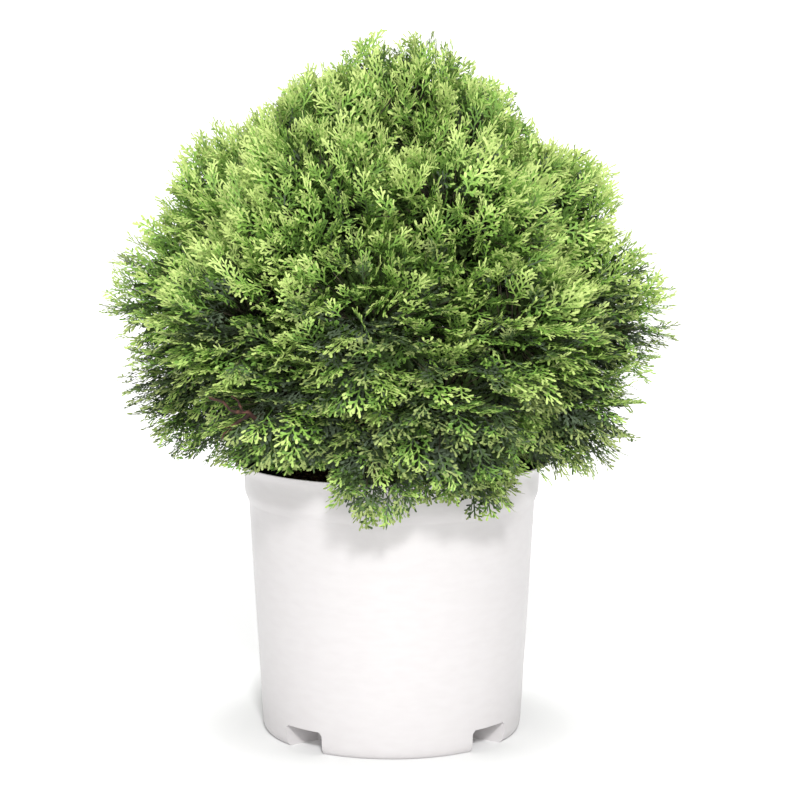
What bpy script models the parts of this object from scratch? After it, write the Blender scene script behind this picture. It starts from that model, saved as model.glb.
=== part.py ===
"""A globe thuja in a round plastic nursery pot, standing on the pot's flat underside.

Metres, +Z up. The origin is the centre of the pot's underside, and the front is -Y.

The crown is a cluster of round lobes in rings about the stem. Each lobe is one mass of
foliage, and it keeps to its own space: the part of its ball that lies nearer to it than to
any other lobe, outside the open middle of the crown where the boughs run. The trunk rises
through that open middle, and one bough runs from it to each lobe.
"""

import math
import random
from collections import namedtuple

import bmesh
import bpy
import numpy as np
from mathutils import Matrix, Vector

GAP = 0.0003
TINY = 0.000001

# Pot: the outer skin as (radius, height) points, from the foot up to the lip
POT_HEIGHT = 0.245
RIM_RADIUS = 0.140
FOOT_RADIUS = 0.1090
FOOT_ROUND = 0.010
BODY = ((0.1150, FOOT_ROUND), (0.1262, 0.207))
COLLAR = ((0.1292, 0.214), (0.1298, 0.218), (0.1302, 0.233))
LIP = ((RIM_RADIUS, 0.2435), (RIM_RADIUS, POT_HEIGHT))
POT_WALL = 0.0025
POT_SIDES = 48

# Drainage recesses round the foot, with a drain hole in the roof of each
RECESS_COUNT = 4
RECESS_FIRST = math.radians(228)
RECESS_HEIGHT = 0.020
RECESS_WIDTH_OUT = 0.050
RECESS_WIDTH_IN = 0.030
RECESS_BACK = 0.080
RECESS_FRONT = 0.135
RECESS_SHOULDER = 0.003
DRAIN_RADIUS = 0.005
DRAIN_PLACE = 0.092
CUTTER_OVERRUN = 0.010

# Soil
SOIL_TOP = 0.213

# Trunk, with its rings closer together towards the foot
TRUNK_RADIUS = 0.0112
TRUNK_TIP_RADIUS = 0.0038
FLARE_EXTRA = 0.0085
FLARE_LENGTH = 0.013
TRUNK_LEAN = 0.010
TRUNK_BOW = 0.007
TRUNK_SIDES = 10
TRUNK_STEPS = 8
TRUNK_CROWDING = 1.6

# Boughs
BOUGH_SIDES = 5
BOUGH_STEPS = 4
BOUGH_TIP_RADIUS = 0.0022
BOUGH_NECK = 0.004
BOUGH_RISE = 0.35
BOUGH_FIRST_BEND = 0.32
BOUGH_LAST_BEND = 0.30
ROOT_TURN = 5
ROOT_STEP = 0.002
LIMB_SPACE = 0.0015
BEADS = 8

# Lobes, ring by ring. A lobe's size and place: out from the axis, height, radius of its ball
# and azimuth of the ring's first. Rise is the upward share of its outward direction. Roots
# are the heights on the trunk between which the ring's boughs leave it.
Ring = namedtuple("Ring", "name count out height radius first rise root_low root_high root_radius twigs")
RINGS = (
    Ring("top", 1, 0.012, 0.5430, 0.066, 0, 60.0, 0, 0, 0, 9),
    Ring("crown", 4, 0.080, 0.5150, 0.064, 38, 2.00, 0.430, 0.462, 0.0036, 6),
    Ring("upper", 6, 0.126, 0.4650, 0.077, -1, 0.70, 0.350, 0.420, 0.0042, 8),
    Ring("middle", 8, 0.163, 0.3735, 0.077, -4, 0.12, 0.286, 0.340, 0.0046, 7),
    Ring("lower", 7, 0.152, 0.3090, 0.065, 233, -0.35, 0.250, 0.280, 0.0044, 6),
    Ring("skirt", 3, 0.150, 0.2650, 0.049, 0, -0.80, 0.235, 0.243, 0.0034, 5),
)
SKIRT_AZIMUTHS = (262, 299, 104)
SEED = 4621
LOBE_SHIFT = 0.009
LOBE_SWELL = 0.08
ENTRY_SHARE = 0.45

# Cores, as shares of the lobe's radius, and how far they keep from their bounds
CORE_SHARE = 0.73
CORE_ROUGHNESS = 0.06
CORE_FILL = 0.60
CORE_MARGIN = 0.002
CORE_BACK_MARGIN = 0.010
CORE_POT_SPACE = 0.006
LEAST_CORE = 0.005

# Twigs and sprays, as shares of the lobe's radius
SPIRAL_POINTS = 300
FREE_REACH = 1.0
TWIG_RADIUS = 0.0024
STEM_END_RADIUS = 0.0019
TWIG_START = 0.40
TWIG_END = 0.96
TWIG_FORKS = (0.22, 0.38)
FORK = 1.15
SPRAY_LIFT = 0.30
AXIS_SWAY = 0.12
FACE_SWAY = 0.45
LEAST_REACH = 0.98
MOST_REACH = 1.08
TIP_REACH = 1.10
SPRAY_SIZES = (1, 0.88, 0.76)
SPACE_MARGIN = 0.0006
POT_SPACE = 0.003

# A spray's outline, as (along, aside) shares of its length
BLADE_TEETH = ((0.52, 0.38), (0.60, 0.20), (0.80, 0.30))
BLADE_MIDDLE = 0.50
BLADE_THICKNESS = 0.035
WELD = 0.00001
TRIES = 6


class Lobe:
    """One mass of foliage: its ball, its outward direction and the bough that carries it."""

    def __init__(self, name, centre, radius, outward, root_height, root_radius, twigs):
        self.name = name
        self.centre = centre
        self.radius = radius
        self.outward = outward
        self.root_height = root_height
        self.root_radius = root_radius
        self.twigs = twigs
        self.entry = centre - outward * (ENTRY_SHARE * radius)


def ring_azimuths(ring):
    """The azimuths of a ring's lobes. Skirt lobes hang only where the foliage covers the rim."""
    if ring.name == "skirt":
        return [math.radians(azimuth) for azimuth in SKIRT_AZIMUTHS]
    return [math.radians(ring.first + 360 * k / ring.count) for k in range(ring.count)]


def make_lobes():
    rng = random.Random(SEED)
    lobes = []
    for ring in RINGS:
        for k, azimuth in enumerate(ring_azimuths(ring)):
            around = Vector((math.cos(azimuth), math.sin(azimuth), 0))
            swell = 1 + LOBE_SWELL * rng.uniform(-1, 1)
            shift = random_vector(rng) * LOBE_SHIFT
            if ring.name == "top":
                shift, swell = Vector(), 1.0
            centre = around * ring.out + Vector((0, 0, ring.height)) + shift
            outward = (around + Vector((0, 0, ring.rise))).normalized()
            name = ring.name if ring.count == 1 else f"{ring.name}_{k + 1}"
            turn = (k * ROOT_TURN % ring.count) / ring.count
            root = ring.root_low + (ring.root_high - ring.root_low) * turn
            radius = ring.radius * swell
            lobes.append(Lobe(name, centre, radius, outward, root, ring.root_radius, ring.twigs))
    return lobes


def trunk_axis(height, top):
    """The trunk's centre line: a slight lean with a slow bow."""
    share = (height - SOIL_TOP) / (top - SOIL_TOP)
    return Vector((TRUNK_LEAN * share, TRUNK_BOW * math.sin(math.pi * share), height))


def trunk_radius(height, top):
    """Steady taper, and the root flare over the lowest stretch."""
    share = (height - SOIL_TOP) / (top - SOIL_TOP)
    taper = TRUNK_RADIUS + (TRUNK_TIP_RADIUS - TRUNK_RADIUS) * share
    return taper + FLARE_EXTRA * math.exp(-(height - SOIL_TOP) / FLARE_LENGTH)


def bezier(points, t):
    a, b, c, d = points
    s = 1 - t
    return a * s**3 + b * (3 * s * s * t) + c * (3 * s * t * t) + d * t**3


def bough_path(lobe, top):
    """From the trunk's centre line out and up to the lobe's inner face, as (points, radii)."""
    root = trunk_axis(lobe.root_height, top)
    tip = lobe.entry - lobe.outward * GAP
    neck = tip - lobe.outward * BOUGH_NECK
    reach = (neck - root).length
    aside = Vector((neck.x - root.x, neck.y - root.y, 0)).normalized()
    handles = (
        root,
        root + (aside + Vector((0, 0, BOUGH_RISE))) * (BOUGH_FIRST_BEND * reach),
        neck - lobe.outward * (BOUGH_LAST_BEND * reach),
        neck,
    )
    shares = [k / BOUGH_STEPS for k in range(BOUGH_STEPS + 1)]
    points = [bezier(handles, t) for t in shares] + [tip]
    radii = [lobe.root_radius + (BOUGH_TIP_RADIUS - lobe.root_radius) * t for t in shares]
    return points, radii + [BOUGH_TIP_RADIUS]


def beads(lobe, top):
    """(x, y, z, radius) rows close together along a bough, outside the trunk."""
    points, radii = bough_path(lobe, top)
    rows = []
    for k in range(len(points) - 1):
        for share in np.linspace(0, 1, BEADS, endpoint=False):
            spot = points[k].lerp(points[k + 1], share)
            if (spot - trunk_axis(spot.z, top)).length > trunk_radius(spot.z, top) / 2:
                rows.append((*spot, radii[k]))
    return np.array(rows)


def place_roots(lobes, top):
    """Each bough leaves the trunk at the first height where it clears the boughs already there."""
    placed = np.empty((0, 4))
    for lobe in sorted(lobes, key=lambda lobe: lobe.root_height):
        if lobe.name == "top":
            continue
        while True:
            rows = beads(lobe, top)
            apart = np.linalg.norm(rows[:, None, :3] - placed[None, :, :3], axis=2)
            if (apart > rows[:, None, 3] + placed[None, :, 3] + LIMB_SPACE).all():
                break
            lobe.root_height += ROOT_STEP
        placed = np.vstack((placed, rows))


def material(name, colour, roughness):
    made = bpy.data.materials.new(name)
    made.use_nodes = True
    shader = made.node_tree.nodes["Principled BSDF"]
    shader.inputs["Base Color"].default_value = (*colour, 1)
    shader.inputs["Roughness"].default_value = roughness
    shader.inputs["Metallic"].default_value = 0
    return made


def object_of(name, points, faces, skin=None):
    mesh = bpy.data.meshes.new(name)
    mesh.from_pydata([tuple(p) for p in points], [], faces)
    if skin:
        mesh.materials.append(skin)
    made = bpy.data.objects.new(name, mesh)
    bpy.context.scene.collection.objects.link(made)
    return made


def turned(name, profile, sides, skin=None):
    """A solid of revolution about Z from (radius, height) points that start and end on the axis."""
    points, rings, faces = [], [], []
    for radius, height in profile:
        if radius == 0:
            rings.append([len(points)] * sides)
            points.append((0, 0, height))
            continue
        rings.append(range(len(points), len(points) + sides))
        for k in range(sides):
            angle = math.tau * k / sides
            points.append((radius * math.cos(angle), radius * math.sin(angle), height))
    for below, above in zip(rings, rings[1:]):
        for k in range(sides):
            n = (k + 1) % sides
            corners = (below[k], below[n], above[n], above[k])
            faces.append(list(dict.fromkeys(corners)))
    return object_of(name, points, faces, skin)


def tube(path, radii, sides):
    """Points and faces of a closed tapering limb along a path, with flat ends."""
    points, faces = [], []
    across = None
    for k, (centre, radius) in enumerate(zip(path, radii)):
        ahead = path[min(k + 1, len(path) - 1)] - path[max(k - 1, 0)]
        ahead.normalize()
        if across is None:
            across = ahead.orthogonal().normalized()
        across = (across - ahead * across.dot(ahead)).normalized()
        beside = ahead.cross(across)
        for s in range(sides):
            angle = math.tau * s / sides
            points.append(centre + (across * math.cos(angle) + beside * math.sin(angle)) * radius)
    for k in range(len(path) - 1):
        for s in range(sides):
            n = (s + 1) % sides
            low, high = k * sides, (k + 1) * sides
            faces.append((low + s, low + n, high + n, high + s))
    faces.append(tuple(reversed(range(sides))))
    faces.append(tuple(range((len(path) - 1) * sides, len(path) * sides)))
    return points, faces


def spike(start, end, radius):
    """Points and faces of a three-sided twig that runs to a point."""
    ahead = (end - start).normalized()
    across = ahead.orthogonal().normalized()
    beside = ahead.cross(across)
    points = [end]
    for s in range(3):
        angle = math.tau * s / 3
        points.append(start + (across * math.cos(angle) + beside * math.sin(angle)) * radius)
    return points, [(1, 2, 0), (2, 3, 0), (3, 1, 0), (3, 2, 1)]


def applied(target):
    """Bakes the object's modifiers into its mesh."""
    graph = bpy.context.evaluated_depsgraph_get()
    baked = bpy.data.meshes.new_from_object(target.evaluated_get(graph))
    target.modifiers.clear()
    target.data = baked
    return target


def cut(target, cutters):
    """Takes each cutter out of the target, then removes the cutters."""
    for cutter in cutters:
        modifier = target.modifiers.new("Cut", "BOOLEAN")
        modifier.operation = "DIFFERENCE"
        modifier.solver = "EXACT"
        modifier.object = cutter
    applied(target)
    for cutter in cutters:
        bpy.data.objects.remove(cutter)
    return target


def fuse(target, others):
    """Joins closed pieces into the target with one union."""
    pieces = bpy.data.collections.new(target.name + "_pieces")
    bpy.context.scene.collection.children.link(pieces)
    for other in others:
        bpy.context.scene.collection.objects.unlink(other)
        pieces.objects.link(other)
    modifier = target.modifiers.new("Join", "BOOLEAN")
    modifier.operation = "UNION"
    modifier.operand_type = "COLLECTION"
    modifier.collection = pieces
    modifier.solver = "MANIFOLD"
    applied(target)
    for other in others:
        bpy.data.objects.remove(other)
    bpy.data.collections.remove(pieces)
    return target


def keep_largest_shell(target):
    """Drops loose scraps and fills sealed hollows: only the shell with the most faces stays."""
    shape = bmesh.new()
    shape.from_mesh(target.data)
    waiting = set(shape.faces)
    shells = []
    while waiting:
        shell, found = set(), [waiting.pop()]
        while found:
            face = found.pop()
            shell.add(face)
            beside = {other for edge in face.edges for other in edge.link_faces} & waiting
            waiting -= beside
            found += beside
        shells.append(shell)
    largest = max(shells, key=len)
    loose = [face for shell in shells if shell is not largest for face in shell]
    bmesh.ops.delete(shape, geom=loose, context="FACES")
    bmesh.ops.delete(shape, geom=[v for v in shape.verts if not v.link_faces], context="VERTS")
    shape.to_mesh(target.data)
    shape.free()


def welded_whole(target):
    """Merges points closer than the weld distance. True where one closed skin is left."""
    shape = bmesh.new()
    shape.from_mesh(target.data)
    bmesh.ops.remove_doubles(shape, verts=shape.verts, dist=WELD)
    bmesh.ops.dissolve_degenerate(shape, edges=shape.edges, dist=WELD)
    bmesh.ops.triangulate(shape, faces=shape.faces)
    bare = [edge for edge in shape.edges if not edge.link_faces]
    bmesh.ops.delete(shape, geom=bare, context="EDGES")
    whole = all(len(edge.link_faces) == 2 for edge in shape.edges)
    shape.to_mesh(target.data)
    shape.free()
    return whole


def pot_outside():
    """(radius, height) points of the outer skin, from the underside up to the lip."""
    spread = BODY[0][0] - FOOT_RADIUS
    turns = (0, math.pi / 4)
    corner = [(FOOT_RADIUS + spread * math.sin(a), FOOT_ROUND * (1 - math.cos(a))) for a in turns]
    return corner + [*BODY, *COLLAR, *LIP]


def pot_inside(inset, top):
    """(radius, height) points of what the pot holds, drawn in by an inset, up to a height."""
    level = [(FOOT_RADIUS, inset), (BODY[0][0], inset + FOOT_ROUND), BODY[1], *COLLAR, LIP[1]]
    kept = [(radius - inset, height) for radius, height in level if height < top]
    heights = [height for _, height in level]
    radii = [radius - inset for radius, _ in level]
    return kept + [(float(np.interp(top, heights, radii)), top)]


def recess(index, spread):
    """A wedge under the foot, larger on every side by a spread."""
    half_in, half_out = RECESS_WIDTH_IN / 2 + spread, RECESS_WIDTH_OUT / 2 + spread
    high = RECESS_HEIGHT + spread
    shoulder = high - RECESS_SHOULDER
    points = []
    for out, half in ((RECESS_BACK - spread, half_in), (RECESS_FRONT, half_out)):
        top = half - RECESS_SHOULDER
        side = [(half, -CUTTER_OVERRUN), (half, shoulder), (top, high)]
        around = [(-across, height) for across, height in reversed(side)] + side
        points += [(out, across, height) for across, height in around]
    count = len(points) // 2
    faces = [(k, (k + 1) % count, (k + 1) % count + count, k + count) for k in range(count)]
    faces += [tuple(reversed(range(count))), tuple(range(count, 2 * count))]
    made = object_of("recess", points, faces)
    made.data.transform(Matrix.Rotation(recess_azimuth(index), 4, "Z"))
    return made


def recess_azimuth(index):
    return RECESS_FIRST + math.tau * index / RECESS_COUNT


def recesses(spread):
    return [recess(k, spread) for k in range(RECESS_COUNT)]


def drain(index):
    angle = recess_azimuth(index)
    depth = 2 * POT_WALL + RECESS_SHOULDER
    bpy.ops.mesh.primitive_cylinder_add(vertices=8, radius=DRAIN_RADIUS, depth=depth)
    made = bpy.context.object
    place = Vector((DRAIN_PLACE * math.cos(angle), DRAIN_PLACE * math.sin(angle), RECESS_HEIGHT))
    made.data.transform(Matrix.Translation(place))
    return made


def make_pot(skin):
    outside = [(0, 0), *pot_outside(), (0, POT_HEIGHT)]
    pot = turned("pot", outside, POT_SIDES, skin)
    above = POT_HEIGHT + CUTTER_OVERRUN
    hollow = [(0, POT_WALL), *pot_inside(POT_WALL, above), (0, above)]
    inner = turned("pot_hollow", hollow, POT_SIDES)
    cut(inner, recesses(POT_WALL))
    return cut(pot, [inner, *recesses(0), *[drain(k) for k in range(RECESS_COUNT)]])


def make_soil(skin):
    inset = POT_WALL + GAP
    profile = [(0, inset), *pot_inside(inset, SOIL_TOP), (0, SOIL_TOP)]
    return cut(turned("soil", profile, POT_SIDES, skin), recesses(inset))


def trunk_shape(top, extra=0.0):
    """Points and faces of the trunk, flat at both ends and fatter by an extra radius."""
    low = SOIL_TOP + GAP
    shares = np.linspace(0, 1, TRUNK_STEPS + 1) ** TRUNK_CROWDING
    heights = [float(low + (top - low) * share) for share in shares]
    path = [trunk_axis(height, top) for height in heights]
    radii = [trunk_radius(height, top) + extra for height in heights]
    points, faces = tube(path, radii, TRUNK_SIDES)
    for first, last in zip(points[:TRUNK_SIDES], points[-TRUNK_SIDES:]):
        first.z, last.z = low, top
    return points, faces


def make_bough(lobe, top, skin):
    points, faces = tube(*bough_path(lobe, top), BOUGH_SIDES)
    bough = object_of("bough_" + lobe.name, points, faces, skin)
    cut(bough, [object_of("trunk_clearance", *trunk_shape(top, GAP / math.cos(math.pi / TRUNK_SIDES)))])
    keep_largest_shell(bough)
    return bough


class Space:
    """What one lobe's foliage may fill: flat bounds to the other lobes and the open middle."""

    def __init__(self, lobe, lobes):
        self.lobe = lobe
        bounds = [(-lobe.outward, -lobe.outward.dot(lobe.entry), CORE_BACK_MARGIN)]
        for other in lobes:
            if other is lobe:
                continue
            between = other.centre - lobe.centre
            power = other.centre.length_squared - other.radius**2
            power -= lobe.centre.length_squared - lobe.radius**2
            bounds.append((between.normalized(), power / (2 * between.length), CORE_MARGIN))
        self.normals = np.array([tuple(normal) for normal, _, _ in bounds])
        self.offsets = np.array([offset for _, offset, _ in bounds])
        bounds.append(over_lip(lobe))
        self.core_normals = np.array([tuple(normal) for normal, _, _ in bounds])
        self.core_offsets = np.array([offset - margin for _, offset, margin in bounds])

    def holds(self, points):
        """Whether every point is inside the bounds, the ball's reach and clear of the pot."""
        inside = points @ self.normals.T < self.offsets - SPACE_MARGIN
        out = np.linalg.norm(points - np.array(self.lobe.centre), axis=1)
        near = out < self.lobe.radius * TIP_REACH
        return bool(inside.all() and near.all() and clear_of_pot(points))

    def core_reach(self, direction, most):
        """How far the core may go along a direction from the lobe's centre."""
        room = self.core_offsets - self.core_normals @ np.array(self.lobe.centre)
        along = self.core_normals @ direction
        steps = [gap / way for gap, way in zip(room, along) if way > TINY]
        return max(LEAST_CORE, min([most] + steps))


def over_lip(lobe):
    """The flat bound that keeps a core above the pot: it runs through the lip, along the lobe."""
    around = Vector((lobe.centre.x, lobe.centre.y, 0)).normalized()
    lip = around * RIM_RADIUS + Vector((0, 0, POT_HEIGHT))
    down = around * lobe.outward.z - Vector((0, 0, lobe.outward.dot(around)))
    down.normalize()
    return down, down.dot(lip), CORE_POT_SPACE


def clear_of_pot(points):
    """Sprays stay above the pot, or hang down outside its lip."""
    out = np.hypot(points[:, 0], points[:, 1])
    return bool(((points[:, 2] > POT_HEIGHT + POT_SPACE) | (out > RIM_RADIUS + POT_SPACE)).all())


def clear_of_limbs(points, limbs):
    """Whether every point stays clear of the limbs, given as (starts, ends, radii)."""
    starts, ends, radii = limbs
    span = ends - starts
    to_point = points[:, None, :] - starts[None]
    share = np.clip((to_point * span).sum(2) / (span * span).sum(1), 0, 1)
    gap = np.linalg.norm(to_point - share[..., None] * span, axis=2)
    return bool((gap > radii + LIMB_SPACE).all())


def limb_segments(lobes, top):
    starts, ends, radii = [], [], []
    heights = np.linspace(SOIL_TOP, top, TRUNK_STEPS + 1)
    for low, high in zip(heights, heights[1:]):
        starts.append(tuple(trunk_axis(low, top)))
        ends.append(tuple(trunk_axis(high, top)))
        radii.append(trunk_radius(low, top))
    for lobe in lobes:
        if lobe.name == "top":
            continue
        path, thick = bough_path(lobe, top)
        for k in range(len(path) - 1):
            starts.append(tuple(path[k]))
            ends.append(tuple(path[k + 1]))
            radii.append(thick[k])
    return np.array(starts), np.array(ends), np.array(radii)


def blade(root, axis, face, length):
    """A flat spray from a pointed root, with a toothed edge and thickest in its middle."""
    aside = face.cross(axis).normalized()
    outline = [root]
    outline += [root + axis * (a * length) - aside * (w * length) for a, w in BLADE_TEETH]
    outline.append(root + axis * length)
    outline += [root + axis * (a * length) + aside * (w * length) for a, w in reversed(BLADE_TEETH)]
    thick = face * (BLADE_THICKNESS * length / 2)
    middle = root + axis * (BLADE_MIDDLE * length)
    count = len(outline)
    points = outline + [middle + thick, middle - thick]
    faces = []
    for k in range(count):
        n = (k + 1) % count
        faces.append((k, n, count))
        faces.append((n, k, count + 1))
    return points, faces


def along_edges(points, faces):
    """Points spread along a small piece's edges, to test where it lies."""
    ends = {tuple(sorted((f[k - 1], f[k]))) for f in faces for k in range(len(f))}
    shares = (0, 0.25, 0.5, 0.75, 1)
    return np.array([points[a].lerp(points[b], share) for a, b in sorted(ends) for share in shares])


def ball_directions():
    """Directions spread evenly over a ball, along a spiral from top to bottom."""
    spiral = math.pi * (3 - math.sqrt(5))
    made = []
    for k in range(SPIRAL_POINTS):
        up = 1 - 2 * (k + 0.5) / SPIRAL_POINTS
        level = math.sqrt(1 - up * up)
        made.append(Vector((level * math.cos(k * spiral), level * math.sin(k * spiral), up)))
    return made


def length_to_ball(start, axis, radius):
    """How far a line runs from a start inside a ball about the origin until it leaves it."""
    along = start.dot(axis)
    return math.sqrt(along * along + radius * radius - start.length_squared) - along


def free_directions(lobe, space, count):
    """As many directions as asked for, far from each other, where the lobe is open to the air."""
    least = FREE_REACH * lobe.radius
    free = [way for way in ball_directions() if space.core_reach(np.array(way), 2 * least) > least]
    chosen = [max(free, key=lambda out: out.dot(lobe.outward))]
    while len(chosen) < min(count, len(free)):
        chosen.append(min(free, key=lambda out: max(out.dot(other) for other in chosen)))
    return chosen


def growth(lobe, out, turn, rng):
    """(axis, face) of a spray that forks off a twig, at a turn about the twig. Low on the plant
    it hangs a little and near the top it rises. Its flat side faces roughly outward."""
    across = out.orthogonal().normalized()
    beside = out.cross(across)
    fork = across * math.cos(turn) + beside * math.sin(turn)
    axis = out + fork * FORK + Vector((0, 0, SPRAY_LIFT * lobe.outward.z))
    axis = (axis + random_vector(rng) * AXIS_SWAY).normalized()
    face = out + random_vector(rng) * FACE_SWAY
    face = (face - axis * face.dot(axis)).normalized()
    return axis, face


def random_vector(rng):
    return Vector([rng.uniform(-1, 1) for _ in range(3)])


def make_core(lobe, space, skin):
    """A faceted ball inside the foliage, fuller sideways where it fills up to its neighbours."""
    bpy.ops.mesh.primitive_ico_sphere_add(subdivisions=2, radius=1)
    core = bpy.context.object
    core.name = core.data.name = "foliage_" + lobe.name
    rng = random.Random(lobe.name)
    for vertex in core.data.vertices:
        direction = vertex.co.normalized()
        sideways = 1 - max(0, direction.dot(lobe.outward))
        roughness = rng.uniform(-CORE_ROUGHNESS, CORE_ROUGHNESS)
        most = (CORE_SHARE * (1 + roughness) + CORE_FILL * sideways**2) * lobe.radius
        vertex.co = lobe.centre + direction * space.core_reach(np.array(direction), most)
    core.data.materials.append(skin)
    return core


def fitting_spray(lobe, space, limbs, root, axis, face, reach):
    """The largest spray on a line that keeps to the lobe's space, or none."""
    full = length_to_ball(root - lobe.centre, axis, reach)
    for share in SPRAY_SIZES:
        piece = blade(root, axis, face, full * share)
        if fits(space, limbs, piece):
            return [piece]
    return []


def fits(space, limbs, piece):
    spots = along_edges(*piece)
    return space.holds(spots) and clear_of_limbs(spots, limbs)


def grow_parts(lobe, space, limbs, rng, twigs):
    """The stem, then twigs from the stem's head outward, each with sprays that fork from it."""
    parts = [tube([lobe.entry, lobe.centre], [BOUGH_TIP_RADIUS, STEM_END_RADIUS], 3)]
    for out in free_directions(lobe, space, twigs):
        start = lobe.centre + out * (TWIG_START * lobe.radius)
        end = lobe.centre + out * (TWIG_END * lobe.radius)
        twig = spike(start, end, TWIG_RADIUS)
        if not fits(space, limbs, twig):
            continue
        parts.append(twig)
        turn = rng.uniform(0, math.tau)
        for share in TWIG_FORKS:
            turn += math.pi
            axis, face = growth(lobe, out, turn, rng)
            reach = rng.uniform(LEAST_REACH, MOST_REACH) * lobe.radius
            parts += fitting_spray(lobe, space, limbs, start.lerp(end, share), axis, face, reach)
    return parts


def make_mass(lobe, lobes, limbs, skin):
    """A core on its stem, with twigs that fork from the stem and end in toothed sprays."""
    space = Space(lobe, lobes)
    for attempt in range(TRIES):
        core = make_core(lobe, space, skin)
        rng = random.Random(f"{SEED} {lobe.name} {attempt}")
        parts = grow_parts(lobe, space, limbs, rng, lobe.twigs - attempt // 2)
        pieces = [object_of(f"{core.name}_piece_{k}", *part) for k, part in enumerate(parts)]
        fuse(core, pieces)
        if welded_whole(core):
            keep_largest_shell(core)
            return core
        bpy.data.objects.remove(core)
    raise RuntimeError(f"no clean union for {lobe.name}")


def main():
    for old in list(bpy.data.objects):
        bpy.data.objects.remove(old)
    plastic = material("white_plastic", (0.86, 0.85, 0.85), 0.35)
    earth = material("potting_soil", (0.050, 0.032, 0.022), 0.95)
    bark = material("red_brown_bark", (0.16, 0.075, 0.045), 0.85)
    green = material("thuja_green", (0.16, 0.30, 0.055), 0.6)
    lobes = make_lobes()
    top = lobes[0].entry.z - GAP
    place_roots(lobes, top)
    limbs = limb_segments(lobes, top)
    make_pot(plastic)
    make_soil(earth)
    object_of("trunk", *trunk_shape(top), bark)
    for lobe in lobes:
        if lobe.name != "top":
            make_bough(lobe, top, bark)
        make_mass(lobe, lobes, limbs, green)


main()
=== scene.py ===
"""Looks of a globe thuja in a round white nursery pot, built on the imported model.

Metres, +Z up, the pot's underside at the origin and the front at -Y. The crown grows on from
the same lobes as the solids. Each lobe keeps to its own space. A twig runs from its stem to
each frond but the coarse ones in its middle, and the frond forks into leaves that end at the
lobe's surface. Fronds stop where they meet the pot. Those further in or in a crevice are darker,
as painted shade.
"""

import math
import random
from collections import namedtuple
from dataclasses import dataclass

import bmesh
import bpy
import numpy as np
from mathutils import Matrix, Vector, noise


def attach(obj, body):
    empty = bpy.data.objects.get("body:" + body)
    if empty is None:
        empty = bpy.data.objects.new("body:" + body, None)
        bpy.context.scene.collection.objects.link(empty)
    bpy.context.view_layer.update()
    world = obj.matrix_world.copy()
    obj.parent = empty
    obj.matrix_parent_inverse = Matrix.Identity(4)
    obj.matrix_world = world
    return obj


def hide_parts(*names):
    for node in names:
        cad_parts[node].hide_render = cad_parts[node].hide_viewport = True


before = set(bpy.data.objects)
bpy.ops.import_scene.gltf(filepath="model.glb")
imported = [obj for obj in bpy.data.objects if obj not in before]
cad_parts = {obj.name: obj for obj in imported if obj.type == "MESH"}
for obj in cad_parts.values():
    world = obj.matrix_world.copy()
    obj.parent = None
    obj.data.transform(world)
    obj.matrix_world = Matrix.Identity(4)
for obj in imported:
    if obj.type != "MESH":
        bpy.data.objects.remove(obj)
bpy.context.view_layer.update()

# Camera, fitted to the photo's pot
CAMERA_PLACE = (0.0073, -2.4036, 0.6717)
CAMERA_TILT = math.radians(8.917)
CAMERA_LENS = 124.4
SENSOR = 36
CAMERA_FAR = 200

# Strength, spread in degrees and direction of each sun, then the even light all round
KEY_LIGHT = (2.45, 8, (-0.06, 0.83, -0.56))
FILL_LIGHT = (1.5, 50, (0.03, 0.99, -0.05))
WORLD_STRENGTH = 0.55
WHITE = (1, 1, 1, 1)
FLOOR_COLOUR = (0.90, 0.90, 0.90)
FLOOR_RADIUS = 70
FLOOR_SIDES = 96
# The floor glows softly from near the pot outwards: near and far distance, then strengths
FLOOR_GLOW = {"From Min": 0.12, "From Max": 0.26, "To Min": 0.0, "To Max": 0.50}

# Pot, as in the solids
POT_HEIGHT = 0.245
RIM_RADIUS = 0.140
LIP_TOP_RADIUS = 0.1394
FOOT_RADIUS = 0.1090
FOOT_ROUND = 0.010
BODY_FOOT = 0.1150
BODY_RADIUS = 0.1262
BODY_HEIGHT = 0.207
POT_WALL = 0.0025
POT_SIDES = 192
FOOT_FLAT = 0.06
FOOT_STEPS = 6
BODY_STEPS = 12
# Outside of the collar and lip from the body upwards, as (radius, height)
COLLAR = (
    (0.1270, 0.2087), (0.1282, 0.2115), (0.1291, 0.2140), (0.1296, 0.2160),
    (0.12985, 0.2185), (0.1300, 0.2240), (0.1302, 0.2300), (0.1304, 0.2330),
)
LIP = (
    (0.1311, 0.2362), (0.1330, 0.2392), (0.1362, 0.2418), (0.1388, 0.2430),
    (0.1397, 0.2436), (RIM_RADIUS, 0.2443), (0.13985, 0.24485), (LIP_TOP_RADIUS, POT_HEIGHT),
)
# Inside of the lip and collar, downwards
COLLAR_INSIDE = (
    (0.1385, 0.2447), (0.1372, 0.2436), (0.1350, 0.2424), (0.1318, 0.2402),
    (0.1290, 0.2370), (0.1280, 0.2335), (0.1275, 0.2180), (0.1262, 0.2120),
    (0.1238, 0.2065),
)
HOLLOW_TOP = 0.26
# The dark inside skin keeps within this radius, and so far over the recesses
DARK_RADIUS = 0.1385
DARK_RISE = 0.004
RECESS_COUNT = 4
RECESS_FIRST = math.radians(228)
RECESS_HEIGHT = 0.020
RECESS_WIDTH_OUT = 0.050
RECESS_WIDTH_IN = 0.030
RECESS_BACK = 0.080
RECESS_FRONT = 0.135
RECESS_SHOULDER = 0.003
DRAIN_RADIUS = 0.005
DRAIN_PLACE = 0.092
DRAIN_DEPTH = 0.012
DRAIN_SIDES = 24
CUTTER_OVERRUN = 0.010
SHARP_EDGE = math.radians(35)

# Soil
SOIL_TOP = 0.213
SOIL_RINGS = 44
SOIL_SIDES = 120
SOIL_REACH = 0.1268
SOIL_MOUND = 0.004
SOIL_LUMPS = 0.0035
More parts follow.
